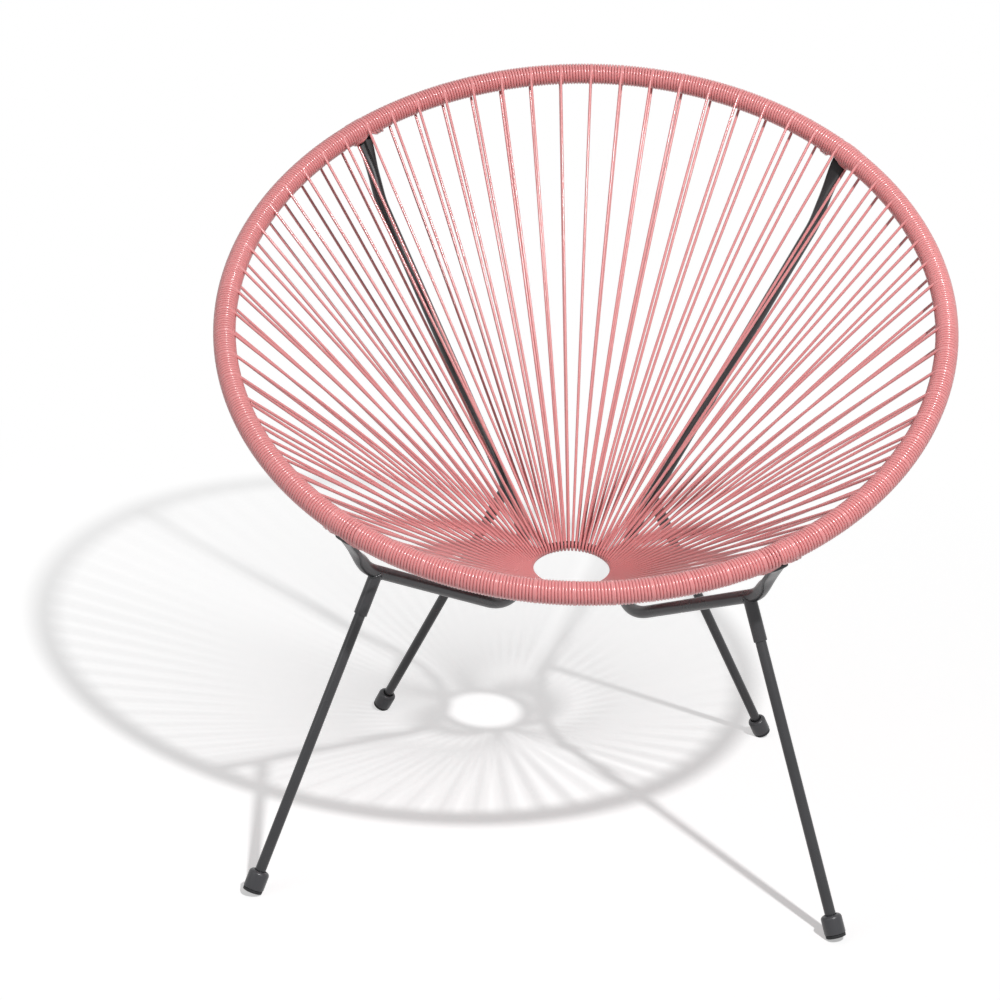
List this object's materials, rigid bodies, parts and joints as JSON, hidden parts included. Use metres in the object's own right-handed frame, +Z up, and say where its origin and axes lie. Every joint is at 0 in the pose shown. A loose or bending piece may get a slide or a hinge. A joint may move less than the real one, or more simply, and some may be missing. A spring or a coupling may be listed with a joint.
{
  "type": "acapulco chair",
  "caption": "Low lounge chair: a tilted round hoop wound with cord, cord strands drawn down to a small hub ring, bent side tubes and splayed rod legs.",
  "frame": {"origin": "on the floor, midway between the left and right sides and midway between the front and back of the hoop", "axes": "+Z up, +X to the right of someone who looks at the chair from in front, and the sitter faces -Y"},
  "size_m": [0.7386, 0.6115, 0.7495],
  "materials": {
    "cord": "coral pink extruded cord, smooth and slightly glossy",
    "frame": "charcoal powder coat, satin",
    "foot_cap": "dark grey moulded plastic, satin",
    "foot_pad": "black rubber, matt"
  },
  "bodies": {
    "root": {"hoop_tube": "frame", "hub_ring": "frame", "seat_cord_back_right": "cord", "seat_cord_back_left": "cord", "seat_cord_upper_right": "cord", "seat_cord_upper_left": "cord", "seat_cord_middle_right": "cord", "seat_cord_middle_left": "cord", "seat_cord_lower_right": "cord", "seat_cord_lower_left": "cord", "seat_cord_front_right": "cord", "seat_cord_front_left": "cord", "side_tube_right": "frame", "side_tube_left": "frame", "front_leg_socket_right": "frame", "front_leg_right": "frame", "front_foot_cap_right": "foot_cap", "front_foot_pad_right": "foot_pad", "front_leg_socket_left": "frame", "front_leg_left": "frame", "front_foot_cap_left": "foot_cap", "front_foot_pad_left": "foot_pad", "rear_leg_socket_right": "frame", "rear_leg_right": "frame", "rear_foot_cap_right": "foot_cap", "rear_foot_pad_right": "foot_pad", "rear_leg_socket_left": "frame", "rear_leg_left": "frame", "rear_foot_cap_left": "foot_cap", "rear_foot_pad_left": "foot_pad"}
  },
  "joints": []
}
